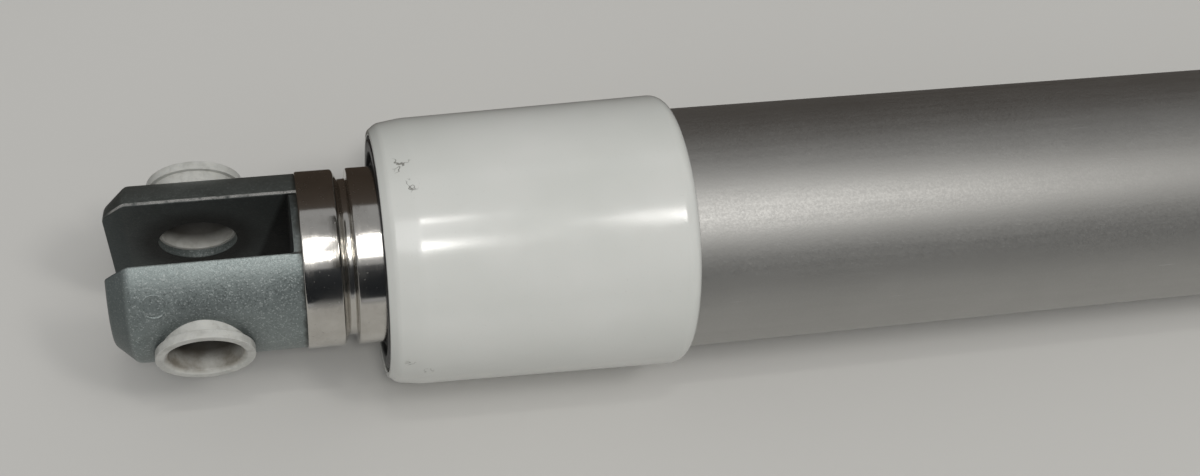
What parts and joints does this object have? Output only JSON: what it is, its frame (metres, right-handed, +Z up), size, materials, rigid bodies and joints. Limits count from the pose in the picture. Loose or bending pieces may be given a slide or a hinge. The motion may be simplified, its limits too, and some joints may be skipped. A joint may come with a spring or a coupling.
{
  "type": "electric linear actuator",
  "caption": "Worm-driven electric linear actuator: a forked steel rod slides out of a round tube, with a side motor housing and a rear clevis.",
  "frame": {"origin": "centre of the rear clevis bore", "axes": "+X from the fork along the tube to the rear clevis, +Y along both clevis bores towards the motor's end, +Z up from the flat foot of the housing"},
  "size_m": [0.3992, 0.1345, 0.0607],
  "materials": {
    "zinc_casting": "matt die-cast zinc",
    "white_plastic": "glossy moulded plastic",
    "white_bush": "off-white nylon",
    "polished_steel": "polished stainless tube",
    "steel": "plain machined steel",
    "anodised_tube": "satin anodised",
    "dark_plastic": "dark grey moulded plastic",
    "rubber": "black rubber",
    "amber_plastic": "natural moulded acetal",
    "bronze": "bronze and copper",
    "magnet": "sintered ferrite",
    "carbon": "pressed carbon",
    "board": "green circuit board"
  },
  "bodies": {
    "barrel": {"outer_tube": "anodised_tube", "front_cap": "white_plastic", "guide_bush": "dark_plastic", "rod_wiper": "rubber", "tube_seal": "rubber", "housing_front": "white_plastic", "housing_rear": "white_plastic", "housing_screws": "steel", "tube_flange": "zinc_casting", "support_bush": "white_bush", "rear_bumper": "rubber", "tie_screws": "steel", "tie_sleeves": "steel", "bearing_plate": "steel", "rear_clevis": "zinc_casting", "rear_bush_near": "white_bush", "rear_bush_far": "white_bush", "bearing_outer_race": "steel", "motor_can": "steel", "motor_end_plate": "steel", "motor_rear_cap": "dark_plastic", "motor_bushes": "bronze", "motor_magnets": "magnet", "motor_brushes": "carbon", "worm_end_bush": "bronze", "sensor_board": "board", "inlet_socket": "dark_plastic", "contact_pins": "bronze"},
    "piston": {"piston_tube": "polished_steel", "fork_head": "zinc_casting", "fork_bush_near": "white_bush", "fork_bush_far": "white_bush", "fork_seal": "rubber", "spindle_nut": "white_bush", "nut_pins": "steel", "safety_nut": "steel", "stop_ring": "rubber"},
    "spindle_set": {"spindle": "steel", "spindle_end_bush": "white_bush", "end_screw": "steel", "worm_wheel": "amber_plastic", "wheel_hub": "steel", "bearing_inner_race": "steel", "spindle_lock_nut": "steel"},
    "ball_set": {"bearing_balls": "steel", "ball_cage": "dark_plastic"},
    "rotor": {"motor_shaft": "steel", "worm": "steel", "magnet_ring": "magnet", "commutator": "bronze", "armature_core": "steel", "armature_windings": "bronze"}
  },
  "joints": [
    {"name": "rod_slide", "type": "slide", "parent": "barrel", "child": "piston", "axis": [-1, 0, 0], "range_m": [0, 0.2]},
    {"name": "spindle_turn", "type": "hinge", "parent": "barrel", "child": "spindle_set", "pos_m": [-0.039, 0, 0], "axis": [1, 0, 0], "range_deg": [0, 12000]},
    {"name": "motor_spin", "type": "hinge", "parent": "barrel", "child": "rotor", "pos_m": [-0.039, 0, 0.0195], "axis": [0, 1, 0], "range_deg": [0, 360000]},
    {"name": "ball_orbit", "type": "hinge", "parent": "barrel", "child": "ball_set", "pos_m": [-0.027, 0, 0], "axis": [1, 0, 0], "range_deg": [0, 4572]}
  ],
  "couplings": [
    {"joint": "spindle_turn", "follows": "rod_slide", "rad_per_m": 1047.2},
    {"joint": "motor_spin", "follows": "rod_slide", "rad_per_m": 31416},
    {"joint": "ball_orbit", "follows": "rod_slide", "rad_per_m": 398.98}
  ]
}
